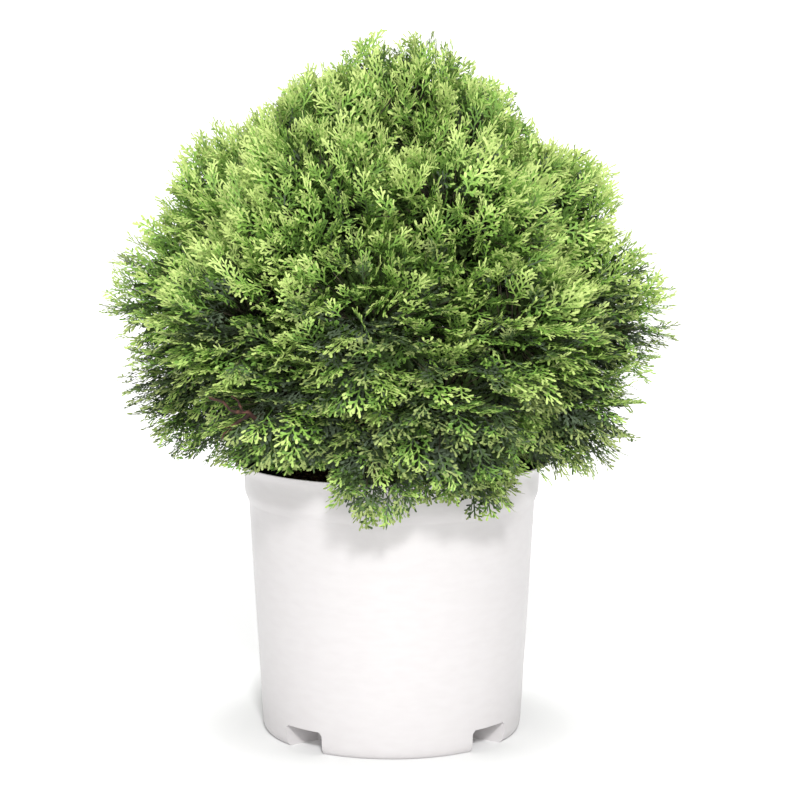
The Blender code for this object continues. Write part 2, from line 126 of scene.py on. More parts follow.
# Grain of the lumps and of the crumbs on them, and how high the crumbs are beside the lumps
LUMP_GRAIN = 60
CRUMB_GRAIN = 190
CRUMB_SHARE = 0.6
CHIP_COUNT = 1500
CHIP_FIELD = 0.122
CHIP_LENGTHS = (0.0015, 0.0055)
CHIP_WIDTHS = (0.35, 0.8)
CHIP_THICKNESSES = (0.15, 0.4)
CHIP_CORNERS = (0.6, 1.1)
CHIP_TILT = 0.6
CHIP_MOUND = 0.127
CHIP_LIFT = 0.0015
BOX_CORNERS = np.array([(x, y, z) for x in (-1, 1) for y in (-1, 1) for z in (-1, 1)], float)
BOX_FACES = np.array(
    ((0, 1, 3, 2), (4, 6, 7, 5), (0, 4, 5, 1), (2, 3, 7, 6), (0, 2, 6, 4), (1, 5, 7, 3))
)

# Limbs, as in the solids
GAP = 0.0003
TRUNK_RADIUS = 0.0112
TRUNK_TIP_RADIUS = 0.0038
FLARE_EXTRA = 0.0085
FLARE_LENGTH = 0.013
TRUNK_LEAN = 0.010
TRUNK_BOW = 0.007
TRUNK_SUNK = 0.004
BOUGH_STEPS = 4
BOUGH_TIP_RADIUS = 0.0022
BOUGH_NECK = 0.004
BOUGH_RISE = 0.35
BOUGH_FIRST_BEND = 0.32
BOUGH_LAST_BEND = 0.30
ROOT_TURN = 5
ROOT_STEP = 0.002
LIMB_SPACE = 0.0015
BEADS = 8
BARK_STEP = 0.0030
BOUGH_BARK_STRETCH = 1.6
LEAST_BOUGH_STEPS = 12
TRUNK_BARK_SIDES = 40
BOUGH_BARK_SIDES = 14
# A bough swells towards its root by this share, and over about so many steps
ROOT_SWELL = 0.45
ROOT_SWELL_STEPS = 2.5
# Relief of the bark, in strips, flakes and waves: depth as a share of the radius, the grain
# across and along the limb, and shifts that keep the layers apart
BARK_LAYERS = ((0.16, 420, 38, 0, 0), (0.06, 900, 260, 7, 0), (0.10, 90, 55, 0, 3))

# Lobes, as in the solids
Ring = namedtuple("Ring", "name count out height radius first rise root_low root_high root_radius")
RINGS = (
    Ring("top", 1, 0.012, 0.5430, 0.066, 0, 60.0, 0, 0, 0),
    Ring("crown", 4, 0.080, 0.5150, 0.064, 38, 2.00, 0.430, 0.462, 0.0036),
    Ring("upper", 6, 0.126, 0.4650, 0.077, -1, 0.70, 0.350, 0.420, 0.0042),
    Ring("middle", 8, 0.163, 0.3735, 0.077, -4, 0.12, 0.286, 0.340, 0.0046),
    Ring("lower", 7, 0.152, 0.3090, 0.065, 233, -0.35, 0.250, 0.280, 0.0044),
    Ring("skirt", 3, 0.150, 0.2650, 0.049, 0, -0.80, 0.235, 0.243, 0.0034),
)
SKIRT_AZIMUTHS = (262, 299, 104)
SEED = 4621
LOBE_SHIFT = 0.009
LOBE_SWELL = 0.08
ENTRY_SHARE = 0.45
POT_SPACE = 0.002

# Fronds on each lobe: so many on a lobe of full size, more on a high one
FROND_FIELD = 465
FULL_LOBE = 0.076
HIGH_LOBE = 0.42
HIGH_MORE = 1.18
DIRECTION_SWAY = 0.10
# Shares of a lobe's radius: free this far, a direction carries a frond, and not quite free, it
# is a crevice, whose fronds take darker tints as painted shade
FREE_SHARE = 0.72
CREVICE_REACH = 0.92
# How far leaves may pass into the next lobe's space, and past the ball as a share of it
CELL_OVERLAP = 0.008
TIP_REACH = 1.22
SKIRT_REACH = 1.32
SURFACE_SWELL = 0.16
SURFACE_GRAIN = 17
STEM_RADIUS = 0.0017
STEM_SIDES = 5
TWIG_START = 0.30
TWIG_RADIUS = 0.0009
TWIG_SIDES = 3
TWIG_SAMPLES = 9
# Of all fronds so many end deeper in, and of the others so many are long wisps, twice as many
# high up. How far the tips of each kind reach, as a share of the lobe's surface
DEEP_SHARE = 0.30
WISP_SHARE = 0.08
HIGH_WISPS = 2
DEEP_TIPS = (0.70, 0.88)
OUTER_TIPS = (0.93, 1.07)
WISP_TIPS = (1.07, 1.16)
FROND_SCALES = (0.92, 1.08)
# A frond that keeps less of its leaves than this is left out
LEAST_KEPT = 0.22
# Coarse dark fronds in the middle of each lobe, painted shade for its depths, one to so many of the others
INNER_PART = 6
INNER_ROOTS = (0.05, 0.22)
INNER_REACH = 0.52
INNER_AXIS_SWAY = 0.8
INNER_FACE_SWAY = 0.6
# The direction of a frond: mostly the crown's way out, partly its lobe's, and never much inwards
CROWN_SHARE = 0.68
LEAST_OUTWARD = 0.10
OUTWARD_PUSH = 1.5
AXIS_SWAY = 0.42
# Rise of the fronds against height, from drooping low down to upright at the top
RISES = (
    (0.22, -1.1), (0.27, -0.80), (0.32, -0.38), (0.37, -0.02),
    (0.42, 0.36), (0.48, 0.90), (0.55, 1.7), (0.62, 3.0),
)
MIDDLE_OUT = 0.08
# Between these heights, level fans low down give way to upright plumes turned every way, and
# past this share of the way none has the longest length
PLUME_HEIGHTS = (0.30, 0.54)
SHORT_ABOVE = 0.4
# How far a lobe's fronds reach, as a share of its ball, then the share for other low lobes
FULLNESS = {
    "top": 1.09, "crown_1": 1.14, "crown_2": 1.03, "crown_4": 1.20,
    "upper_1": 0.97, "upper_3": 0.94, "upper_4": 0.86, "upper_5": 0.96,
    "lower_2": 1.20, "lower_3": 1.00, "lower_4": 1.06, "lower_7": 1.10,
    "skirt_1": 1.00, "skirt_2": 0.98,
}
LOW_FULLNESS = 1.08
# Where a lobe's fronds reach further one way than the other
LEANS = {
    "skirt_1": (0.30, 0, -0.14),
    "skirt_2": (-0.35, 0, -0.11),
    "lower_1": (-0.10, 0, -0.06),
    "lower_3": (0.12, 0, -0.04),
    "lower_7": (-0.04, 0, -0.14),
    "upper_1": (0, 0, -0.17),
}

# Openings in the foliage where bare branches show, as an ellipsoid's middle and half sizes
WINDOWS = (
    ((-0.127, -0.178, 0.3130), (0.022, 0.046, 0.012)),
    ((-0.016, -0.172, 0.264), (0.008, 0.026, 0.008)),
)
# The front left of the rim stays bare: each stretch from one azimuth to another and so far
# out, and the height that fronds there keep above
BARE_RIM = (
    (math.radians(193), math.radians(212), 0.166),
    (math.radians(212), math.radians(251), 0.230),
)
BARE_HEIGHT = 0.259
# Bare forked branches: the lobe whose stem carries one, or none for a side branch, then its
# start and end radius and its points
FORKED_BRANCH = (
    (-0.094, -0.146, 0.297), (-0.108, -0.160, 0.303), (-0.118, -0.166, 0.311),
    (-0.131, -0.169, 0.314), (-0.149, -0.169, 0.324),
)
BARE_BRANCHES = (
    ("lower_1", 0.0025, 0.0010, FORKED_BRANCH),
    (None, 0.0015, 0.0007, ((-0.116, -0.163, 0.309), (-0.126, -0.170, 0.301), (-0.141, -0.172, 0.297))),
    (None, 0.0011, 0.0005, ((-0.128, -0.169, 0.300), (-0.136, -0.174, 0.293), (-0.138, -0.177, 0.288))),
    (None, 0.0013, 0.0005, ((-0.104, -0.155, 0.301), (-0.110, -0.169, 0.294), (-0.105, -0.179, 0.289))),
    (None, 0.0011, 0.0005, ((-0.122, -0.167, 0.312), (-0.124, -0.172, 0.320), (-0.131, -0.176, 0.325))),
    ("skirt_1", 0.0023, 0.0014, ((-0.014, -0.140, 0.262), (-0.016, -0.165, 0.272), (-0.014, -0.169, 0.258))),
)
BARE_SIDES = 9
BARE_STEPS = 5
BARE_WOBBLE = 0.0026
BARE_GRAIN = 90
BARE_KNOTS = 0.7
BARE_KNOT_GRAIN = 300

# Frond shapes: spread of the side shoots as a share of the frond, their first and last angle,
# length and width of a leaf, and the gaps between side shoots and between the leaves on one
Shape = namedtuple(
    "Shape", "spread first_angle last_angle finger_length finger_width pinna_gap finger_gap"
)
FAN = Shape(0.50, 60, 30, 0.0052, 0.0021, 0.0040, 0.0027)
PLUME = Shape(0.31, 48, 22, 0.0062, 0.0015, 0.0036, 0.0027)
COARSE = Shape(0.52, 60, 30, 0.0110, 0.0040, 0.0075, 0.0058)
LENGTHS = (0.025, 0.033, 0.042, 0.052)
TEMPLATES = 8
# Outline of a leaf: shares of its length and of its width
LEAF_OUTLINE = ((0, 0.34), (0, -0.34), (0.78, -0.5), (1, 0), (0.78, 0.5))
LEAF_FACES = np.array(((0, 1, 2), (0, 2, 4), (4, 2, 3)))
LEAF_POINTS = len(LEAF_OUTLINE)
LEAF_LENGTHS = (0.75, 1.15)
LEAF_WIDTHS = (0.85, 1.15)
LEAF_GAPS = (0.85, 1.2)
LEAF_LIFTS = (-0.25, 0.40)
LEAF_ROLL = 0.6
# The stem of a frond in lapped pieces, and shares of the frond: where it ends, its first and
# last side shoot, and the place and length of the leaf at its tip, turned on with the stem
RACHIS_WIDTH = 0.0016
RACHIS_STEPS = 3
RACHIS_LAP = 1.25
RACHIS_END = 0.9
RACHIS_SWAY = 0.14
FIRST_PINNA = 0.12
LAST_PINNA = 0.90
PINNA_GAPS = (0.85, 1.15)
TIP_PLACE = 0.86
TIP_LENGTH = 0.15
TIP_TURN = 1.8
TIP_LIFT = 0.1
# Shares of the frond: how long side shoots are at least, and how fast they get longer at first
# and shorter towards its end
PINNA_LEAST = 0.09
PINNA_START = 0.60
PINNA_GROWTH = 2.0
PINNA_FALL = 0.75
PINNA_LENGTHS = (0.80, 1.18)
# On a side shoot: how it turns and bends, where its stem ends, the first leaf in gaps, and how
# far out the leaves go on and the last one sits. Leaves get shorter outwards
PINNA_TURN = 7
PINNA_CURVE = 0.34
STEM_BEND = 0.3
STEM_END = 0.9
STEM_TONE = 0.45
FIRST_LEAF = 1.3
LAST_LEAF = 0.80
END_LEAF = 0.84
LEAF_ANGLES = (32, 48)
LEAF_TAPER = 0.30
# How far from flat a fan and a plume bend along and across
FAN_BENDS = (-0.35, 0.15)
FAN_CUPS = (-0.50, 0.25)
PLUME_BENDS = (-0.2, 0.1)
PLUME_CUPS = (-0.2, 0.3)
# Tones from a frond's inside to its rim, told by how far along the side shoot and the frond
RIM_SHARE = 0.60
MIDDLE_SHARE = 0.33
END_WEIGHT = 0.60
TONE_SWAY = 0.08
PIECE_LEAVES = 60000

# Tints of the foliage, linear
TINTS = {
    "bright": (0.535, 0.665, 0.215),
    "light": (0.40, 0.56, 0.150),
    "olive": (0.30, 0.37, 0.130),
    "fresh": (0.260, 0.445, 0.086),
    "mid": (0.166, 0.306, 0.062),
    "moss": (0.100, 0.190, 0.038),
    "deep": (0.088, 0.140, 0.050),
    "blue": (0.094, 0.126, 0.080),
    # The inner tint is painted shade, for the coarse fronds in the lobes' middles
    "inner": (0.036, 0.064, 0.015),
}
# Painted light and shade by height: tint families run from shaded low down to sunny high up
SUNNY_HEIGHTS = (0.26, 0.475)
# Around this height, where the fronds lie level, more of them are pale, as painted light
BELT_HEIGHT = 0.395
BELT_SPREAD = 0.080
# Share of each family in the shade, then what sun and the pale belt add to it
FAMILY_SHARES = {
    "sunny": (0, 0.50, 0),
    "pale": (0, 0.28, 0.42),
    "green": (0.03, 0.16, 0),
    "edged": (0.13, -0.08, 0),
    "shaded": (0.30, -0.24, 0),
    "dull": (0.54, -0.53, 0),
}
# Each family is the tints of a frond's inside, its middle and its tips
FAMILIES = {
    "sunny": ("mid", "fresh", "bright"),
    "pale": ("fresh", "light", "bright"),
    "green": ("moss", "fresh", "bright"),
    "edged": ("deep", "mid", "light"),
    "shaded": ("blue", "mid", "light"),
    "dull": ("blue", "deep", "olive"),
}
# The tint one step darker, painted shade for fronds further in or in a crevice
SHADE_DEEPER = {"fresh": "mid", "mid": "moss", "moss": "moss", "deep": "deep", "blue": "blue"}

# Colours of the other materials, linear, each from dark to light
POT_WHITES = ((0.522, 0.502, 0.504), (0.53, 0.510, 0.512), (0.540, 0.522, 0.524))
POT_DARKS = ((0.012, 0.015, 0.030), (0.016, 0.019, 0.036), (0.026, 0.030, 0.050))
SOIL_COLOURS = ((0.020, 0.013, 0.009), (0.060, 0.038, 0.025))
CHIP_COLOURS = ((0.045, 0.024, 0.014), (0.14, 0.075, 0.045))
BARK_COLOURS = ((0.045, 0.020, 0.013), (0.16, 0.070, 0.045), (0.30, 0.165, 0.115))
# The bare branches' bark is darker than the trunk's: partly its own colour, partly painted shade, as they
# show through openings behind fronds
BRANCH_COLOURS = ((0.008, 0.003, 0.002), (0.045, 0.016, 0.010), (0.17, 0.070, 0.048))
TWIG_COLOURS = ((0.016, 0.014, 0.007), (0.040, 0.036, 0.016), (0.085, 0.070, 0.034))
# Bark texture stretched along an upright limb, and nearly even on the bare branches
BARK_STRETCH = (1, 1, 0.14)
BRANCH_STRETCH = (0.8, 1, 1)


@dataclass
class Lobe:
    """One mass of foliage: its ball, its outward direction and the bough that carries it."""

    name: str
    centre: Vector
    radius: float
    outward: Vector
    root_height: float
    root_radius: float

    @property
    def entry(self):
        """Where the lobe's stem starts, on its inner side."""
        return self.centre - self.outward * (ENTRY_SHARE * self.radius)


def random_vector(rng):
    return Vector([rng.uniform(-1, 1) for _ in range(3)])


def add_object(name, data):
    made = bpy.data.objects.new(name, data)
    bpy.context.scene.collection.objects.link(made)
    return made


def ring_azimuths(ring):
    if ring.name == "skirt":
        return [math.radians(azimuth) for azimuth in SKIRT_AZIMUTHS]
    return [math.radians(ring.first + 360 * k / ring.count) for k in range(ring.count)]


def make_lobes():
    rng = random.Random(SEED)
    lobes = []
    for ring in RINGS:
        for k, azimuth in enumerate(ring_azimuths(ring)):
            around = Vector((math.cos(azimuth), math.sin(azimuth), 0))
            swell = 1 + LOBE_SWELL * rng.uniform(-1, 1)
            shift = random_vector(rng) * LOBE_SHIFT
            if ring.name == "top":
                shift, swell = Vector(), 1.0
            centre = around * ring.out + Vector((0, 0, ring.height)) + shift
            outward = (around + Vector((0, 0, ring.rise))).normalized()
            name = ring.name if ring.count == 1 else f"{ring.name}_{k + 1}"
            turn = (k * ROOT_TURN % ring.count) / ring.count
            root = ring.root_low + (ring.root_high - ring.root_low) * turn
            lobes.append(Lobe(name, centre, ring.radius * swell, outward, root, ring.root_radius))
    return lobes


def trunk_axis(height, top):
    share = (height - SOIL_TOP) / (top - SOIL_TOP)
    return Vector((TRUNK_LEAN * share, TRUNK_BOW * math.sin(math.pi * share), height))


def trunk_radius(height, top):
    share = (height - SOIL_TOP) / (top - SOIL_TOP)
    taper = TRUNK_RADIUS + (TRUNK_TIP_RADIUS - TRUNK_RADIUS) * share
    return taper + FLARE_EXTRA * math.exp(-(height - SOIL_TOP) / FLARE_LENGTH)


def bezier(points, t):
    a, b, c, d = points
    s = 1 - t
    return a * s**3 + b * (3 * s * s * t) + c * (3 * s * t * t) + d * t**3


def bough_handles(lobe, top):
    root = trunk_axis(lobe.root_height, top)
    tip = lobe.entry - lobe.outward * GAP
    neck = tip - lobe.outward * BOUGH_NECK
    reach = (neck - root).length
    aside = Vector((neck.x - root.x, neck.y - root.y, 0)).normalized()
    first = root + (aside + Vector((0, 0, BOUGH_RISE))) * (BOUGH_FIRST_BEND * reach)
    last = neck - lobe.outward * (BOUGH_LAST_BEND * reach)
    return (root, first, last, neck), tip


def bough_path(lobe, top, steps=BOUGH_STEPS):
    handles, tip = bough_handles(lobe, top)
    shares = [k / steps for k in range(steps + 1)]
    points = [bezier(handles, t) for t in shares] + [tip]
    radii = [lobe.root_radius + (BOUGH_TIP_RADIUS - lobe.root_radius) * t for t in shares]
    return points, radii + [BOUGH_TIP_RADIUS]


def beads(lobe, top):
    points, radii = bough_path(lobe, top)
    rows = []
    for k in range(len(points) - 1):
        for share in np.linspace(0, 1, BEADS, endpoint=False):
            spot = points[k].lerp(points[k + 1], share)
            if (spot - trunk_axis(spot.z, top)).length > trunk_radius(spot.z, top) / 2:
                rows.append((*spot, radii[k]))
    return np.array(rows)


def place_roots(lobes, top):
    """Each bough leaves the trunk at the first height where it clears the boughs already there."""
    placed = np.empty((0, 4))
    for lobe in sorted(lobes, key=lambda lobe: lobe.root_height):
        if lobe.name == "top":
            continue
        while True:
            rows = beads(lobe, top)
            apart = np.linalg.norm(rows[:, None, :3] - placed[None, :, :3], axis=2)
            if (apart > rows[:, None, 3] + placed[None, :, 3] + LIMB_SPACE).all():
                break
            lobe.root_height += ROOT_STEP
        placed = np.vstack((placed, rows))


class Space:
    """What one lobe's foliage may fill: flat bounds to the other lobes and the open middle."""

    def __init__(self, lobe, lobes):
        self.centre = np.array(lobe.centre)
        self.radius = lobe.radius
        self.tip_reach = SKIRT_REACH if lobe.name.startswith("skirt") else TIP_REACH
        normals = [tuple(-lobe.outward)]
        offsets = [-lobe.outward.dot(lobe.entry)]
        for other in lobes:
            if other is lobe:
                continue
            between = other.centre - lobe.centre
            power = other.centre.length_squared - other.radius**2
            power -= lobe.centre.length_squared - lobe.radius**2
            normals.append(tuple(between.normalized()))
            offsets.append(power / (2 * between.length))
        self.normals = np.array(normals)
        self.offsets = np.array(offsets)

    def reach(self, direction):
        """How far a line from the lobe's centre runs inside the flat bounds."""
        room = self.offsets - self.normals @ self.centre
        along = self.normals @ direction
        steps = room[along > 1e-6] / along[along > 1e-6]
        return float(steps.min(initial=1.0))

    def keeps(self, leaves):
        """Which leaves, as rows of points, stay in the lobe's reach and out of the openings."""
        points = leaves.reshape(-1, 3)
        inside = (points @ self.normals.T < self.offsets + CELL_OVERLAP).all(1)
        near = np.linalg.norm(points - self.centre, axis=1) < self.radius * self.tip_reach
        for middle, half in WINDOWS:
            near &= (((points - middle) / half) ** 2).sum(1) > 1
        return (inside & near).reshape(-1, leaves.shape[1]).all(1)

    @staticmethod
    def clears(leaves):
        """Which leaves stay off the pot and its bare stretch of rim."""
        points = leaves.reshape(-1, 3)
        out = np.hypot(points[:, 0], points[:, 1])
        clear = (points[:, 2] > POT_HEIGHT + POT_SPACE) | (out > RIM_RADIUS + POT_SPACE)
        azimuth = np.arctan2(points[:, 1], points[:, 0]) % math.tau
        for first, last, most in BARE_RIM:
            clear &= (points[:, 2] > BARE_HEIGHT) | (azimuth < first) | (azimuth > last) | (out > most)
        return clear.reshape(-1, leaves.shape[1]).all(1)


def leaf(base, angle, length, width, lift, roll=0):
    """Five points of a small blunt strip, lifted and rolled out of the frond's flat frame."""
    u, v = base
    along = (math.cos(angle), math.sin(angle))
    side = (-along[1], along[0])
    rows = []
    for a, w in LEAF_OUTLINE:
        across = w * width * math.cos(roll)
        x = u + along[0] * a * length + side[0] * across
        y = v + along[1] * a * length + side[1] * across
        rows.append((x, y, a * lift * length + w * width * math.sin(roll)))
    return rows


def tone(edge):
    """Inside, middle or rim, from how far out in its frond a leaf is."""
    return 2 if edge > RIM_SHARE else (1 if edge > MIDDLE_SHARE else 0)


def side_shoot(tones, place, angle, pinna, share, side, shape, rng):
    """Adds a side shoot of a frond: a bent stem, leaves to either side in turn and one at its end."""
    curve = -side * PINNA_CURVE
    stem = leaf(place, angle + curve * STEM_BEND, pinna * STEM_END, RACHIS_WIDTH, 0)
    tones[tone(max(STEM_TONE, share))].append(stem)
    s = shape.finger_gap * FIRST_LEAF
    hand = side
    while True:
        last = s >= pinna * LAST_LEAF
        at = min(s / pinna, 1)
        run = min(s, pinna * END_LEAF)
        way = angle + curve * at / 2
        spot = (place[0] + math.cos(way) * run, place[1] + math.sin(way) * run)
        fork = 0 if last else hand * math.radians(rng.uniform(*LEAF_ANGLES))
        finger = shape.finger_length * rng.uniform(*LEAF_LENGTHS) * (1 if last else 1 - LEAF_TAPER * at)
        edge = END_WEIGHT * at + (1 - END_WEIGHT) * share + rng.uniform(-TONE_SWAY, TONE_SWAY)
        width = shape.finger_width * rng.uniform(*LEAF_WIDTHS)
        lift = rng.uniform(*LEAF_LIFTS)
        roll = rng.uniform(-LEAF_ROLL, LEAF_ROLL)
        rows = leaf(spot, angle + curve * at + fork, finger, width, lift, roll)
        tones[2 if last else tone(edge)].append(rows)
        if last:
            return
        hand = -hand
        s += shape.finger_gap * rng.uniform(*LEAF_GAPS)


def frond(length, shape, rng):
    """One frond, pointing along +X with its face at +Z, as leaves sorted by inside, middle and
    rim: a stem with side shoots to either side in turn, bent a little along and across."""
    tones = ([], [], [])
    sway = rng.uniform(-RACHIS_SWAY, RACHIS_SWAY)

    def rachis(u):
        return (u, sway * u * u / length)

    for k in range(RACHIS_STEPS):
        start = rachis(length * RACHIS_END * k / RACHIS_STEPS)
        end = rachis(length * RACHIS_END * (k + RACHIS_LAP) / RACHIS_STEPS)
        angle = math.atan2(end[1] - start[1], end[0] - start[0])
        piece = leaf(start, angle, math.dist(start, end), RACHIS_WIDTH, 0)
        tones[0 if k < RACHIS_STEPS - 1 else 1].append(piece)
    side = rng.choice((-1, 1))
    u = length * FIRST_PINNA
    while u < length * LAST_PINNA:
        share = u / length
        side = -side
        turn = shape.first_angle + (shape.last_angle - shape.first_angle) * share
        turn += rng.uniform(-PINNA_TURN, PINNA_TURN)
        angle = side * math.radians(turn) + 2 * sway * share
        spread = shape.spread * (1 - share) ** PINNA_FALL + PINNA_LEAST
        spread *= min(1, PINNA_START + PINNA_GROWTH * share)
        pinna = length * spread * rng.uniform(*PINNA_LENGTHS)
        side_shoot(tones, rachis(u), angle, pinna, share, side, shape, rng)
        u += shape.pinna_gap * rng.uniform(*PINNA_GAPS)
    place = rachis(length * TIP_PLACE)
    tip = leaf(place, sway * TIP_TURN, length * TIP_LENGTH, shape.finger_width, TIP_LIFT)
    tones[2].append(tip)
    bend = rng.uniform(*(FAN_BENDS if shape is FAN else PLUME_BENDS))
    cup = rng.uniform(*(FAN_CUPS if shape is FAN else PLUME_CUPS))
    made = []
    for rows in tones:
        points = np.array(rows, float).reshape(-1, LEAF_POINTS, 3)
        points[..., 2] -= bend * points[..., 0] ** 2 / length
        points[..., 2] += cup * points[..., 1] ** 2 / length
        made.append(points)
    return made


def ball_directions(count, rng):
    """Directions spread evenly over a ball, along a spiral, with a little sway."""
    spiral = math.pi * (3 - math.sqrt(5))
    start = rng.uniform(0, math.tau)
    made = []
    for k in range(count):
        up = 1 - 2 * (k + 0.5) / count
        level = math.sqrt(1 - up * up)
        turn = start + k * spiral
        way = Vector((level * math.cos(turn), level * math.sin(turn), up))
        made.append((way + random_vector(rng) * DIRECTION_SWAY).normalized())
    return made


def smooth_share(value, low, high):
    share = min(max((value - low) / (high - low), 0), 1)
    return share * share * (3 - 2 * share)


def family_for(height, rng):
    """The tint family of a frond, painted light and shade by height: sunny and green high up, dark with
    bright rims low down.
    """
    sunny = smooth_share(height, *SUNNY_HEIGHTS)
    belt = max(0, 1 - abs(height - BELT_HEIGHT) / BELT_SPREAD)
    weights = [base + sun * sunny + pale * belt for base, sun, pale in FAMILY_SHARES.values()]
    return rng.choices(list(FAMILY_SHARES), weights)[0]


class Crown:
    """Collects the leaves by tint, and the twigs."""

    def __init__(self):
        self.leaves = {name: [] for name in TINTS}
        self.twigs = []

    def place(self, template, tints, space, root, axis, face, scale):
        """Adds one frond, cut off where it first meets the pot; gives the share of it that stays."""
        aside = face.cross(axis)
        turn = np.array((tuple(axis), tuple(aside), tuple(face))) * scale
        moved = [points @ turn + np.array(root) for points in template]
        spans = [np.linalg.norm(points[:, 3] - np.array(root), axis=1) for points in moved]
        stopped = [span[~space.clears(points)] for points, span in zip(moved, spans)]
        end = min(float(span.min(initial=1.0)) for span in stopped)
        inside = [points[space.keeps(points) & (span < end)] for points, span in zip(moved, spans)]
        share = sum(map(len, inside)) / sum(map(len, moved))
        if share > LEAST_KEPT:
            for points, tint in zip(inside, tints):
                self.leaves[tint].append(points)
        return share


def squared(face, axis):
    """The face direction turned square to an axis."""
    face = face - axis * face.dot(axis)
    return face.normalized() if face.length > 1e-3 else axis.orthogonal().normalized()


def frond_axis(tip, out, sway, rng):
    """Which way a frond points: partly out of its lobe, partly out of the crown as a whole."""
    level = Vector((tip.x, tip.y, 0))
    level /= max(level.length, MIDDLE_OUT)
    rise = float(np.interp(tip.z, *zip(*RISES)))
    crown_way = (level + Vector((0, 0, rise))).normalized()
    axis = crown_way * CROWN_SHARE + out * (1 - CROWN_SHARE) + random_vector(rng) * sway
    axis.normalize()
    lack = LEAST_OUTWARD - axis.dot(out)
    if lack > 0:
        axis = (axis + out * (lack * OUTWARD_PUSH)).normalized()
    return axis


def surface_reach(lobe, out):
    """The lobe's own reach along a direction: its ball with swellings and hollows."""
    swell = noise.noise((lobe.centre + out * lobe.radius) * SURFACE_GRAIN)
    low = lobe.name.startswith(("middle", "lower"))
    full = FULLNESS.get(lobe.name, LOW_FULLNESS if low else 1)
    lean = Vector(LEANS.get(lobe.name, (0, 0, 0))).dot(out)
    return lobe.radius * (full + lean) * (1 + SURFACE_SWELL * swell)


def twig_clears(space, start, end):
    """Whether a straight twig stays off the pot."""
    last = TWIG_SAMPLES - 1
    spots = np.array([[tuple(start.lerp(end, k / last))] for k in range(TWIG_SAMPLES)])
    return space.clears(spots).all()


def frond_face(out, sunny, rng):
    """Up in the shade, and any way in the sun."""
    sway = random_vector(rng) * (0.18 + 0.87 * sunny)
    return Vector((0, 0, 1)) * (1 - 0.75 * sunny) + out * 0.30 + sway


def frond_tip(lobe, out, most, rng):
    """Where a frond ends, and whether it ends deep inside or is a long wisp."""
    deep = rng.random() < DEEP_SHARE
    wisps = WISP_SHARE * (HIGH_WISPS if lobe.centre.z > HIGH_LOBE else 1)
    wisp = not deep and rng.random() < wisps
    share = rng.uniform(*(DEEP_TIPS if deep else OUTER_TIPS))
    tip = lobe.centre + out * most * (rng.uniform(*WISP_TIPS) if wisp else share)
    return tip, deep, wisp


def grow_frond(crown, lobe, space, out, templates, rng):
    """One frond and its twig, along a direction from the lobe's centre."""
    reach = space.reach(np.array(out))
    if reach < FREE_SHARE * lobe.radius:
        return
    most = min(surface_reach(lobe, out), reach + CELL_OVERLAP)
    tip, deep, wisp = frond_tip(lobe, out, most, rng)
    sunny = smooth_share(tip.z, *PLUME_HEIGHTS)
    axis = frond_axis(tip, out, AXIS_SWAY * (0.65 + 0.6 * sunny), rng)
    plume = wisp or rng.random() < 0.10 + 0.60 * sunny
    length = rng.choice(LENGTHS[:3] if sunny > SHORT_ABOVE else LENGTHS)
    root = tip - axis * length
    at_root = np.array([[tuple(root)]])
    if not (space.keeps(at_root) & space.clears(at_root))[0]:
        length = LENGTHS[0]
        root = tip - axis * length
    start = lobe.entry.lerp(lobe.centre, rng.uniform(TWIG_START, 1))
    if not twig_clears(space, start, root):
        return
    face = squared(frond_face(out, sunny, rng), axis)
    tints = FAMILIES[family_for(tip.z, rng)]
    # Fronds that end deep in or in a crevice take darker tints: painted shade
    if deep or reach < CREVICE_REACH * lobe.radius:
        tints = (SHADE_DEEPER[tints[0]], SHADE_DEEPER[tints[0]], tints[0])
    template = rng.choice(templates[PLUME if plume else FAN][length])
    scale = rng.uniform(*FROND_SCALES)
    if crown.place(template, tints, space, root, axis, face, scale) > LEAST_KEPT:
        crown.twigs.append(([start, root], [TWIG_RADIUS, TWIG_RADIUS / 2], TWIG_SIDES))


def grow_inner_frond(crown, lobe, space, out, templates, rng):
    """A coarse dark frond in the lobe's middle, its dark tint painted shade."""
    root = lobe.centre + out * (rng.uniform(*INNER_ROOTS) * lobe.radius)
    axis = (out + random_vector(rng) * INNER_AXIS_SWAY).normalized()
    face = squared(out + random_vector(rng) * INNER_FACE_SWAY, axis)
    scale = INNER_REACH * surface_reach(lobe, out) / LENGTHS[-1]
    template = rng.choice(templates[COARSE][LENGTHS[-1]])
    crown.place(template, ("inner",) * 3, space, root, axis, face, scale)


def grow_lobe(crown, lobe, lobes, templates):
    rng = random.Random(f"{SEED} {lobe.name} fronds")
    space = Space(lobe, lobes)
    crown.twigs.append(([lobe.entry, lobe.centre], [BOUGH_TIP_RADIUS, STEM_RADIUS], STEM_SIDES))
    count = int(FROND_FIELD * (lobe.radius / FULL_LOBE) ** 2)
    if lobe.centre.z > HIGH_LOBE:
        count = int(count * HIGH_MORE)
    for out in ball_directions(count, rng):
        grow_frond(crown, lobe, space, out, templates, rng)
    for out in ball_directions(count // INNER_PART, rng):
        grow_inner_frond(crown, lobe, space, out, templates, rng)


def bare_branches(lobes):
    """Crooked brown branches in the openings, grown on from their lobes' stems."""
    noise.seed_set(SEED)
    carriers = {lobe.name: lobe for lobe in lobes}
    made = []
    for name, thick, thin, places in BARE_BRANCHES:
        path = [Vector(place) for place in places]
        if name:
            path.insert(0, carriers[name].centre.copy())
        points = []
        for start, end in zip(path, path[1:]):
            points += [start.lerp(end, k / BARE_STEPS) for k in range(BARE_STEPS)]
        points.append(path[-1])
        points = [spot + noise.noise_vector(spot * BARE_GRAIN) * BARE_WOBBLE for spot in points]
        radii = []
        for k, spot in enumerate(points):
            knot = 1 + BARE_KNOTS * noise.noise(spot * BARE_KNOT_GRAIN)
            radii.append((thick + (thin - thick) * k / (len(points) - 1)) * knot)
        made.append((points, radii, BARE_SIDES))
    return made


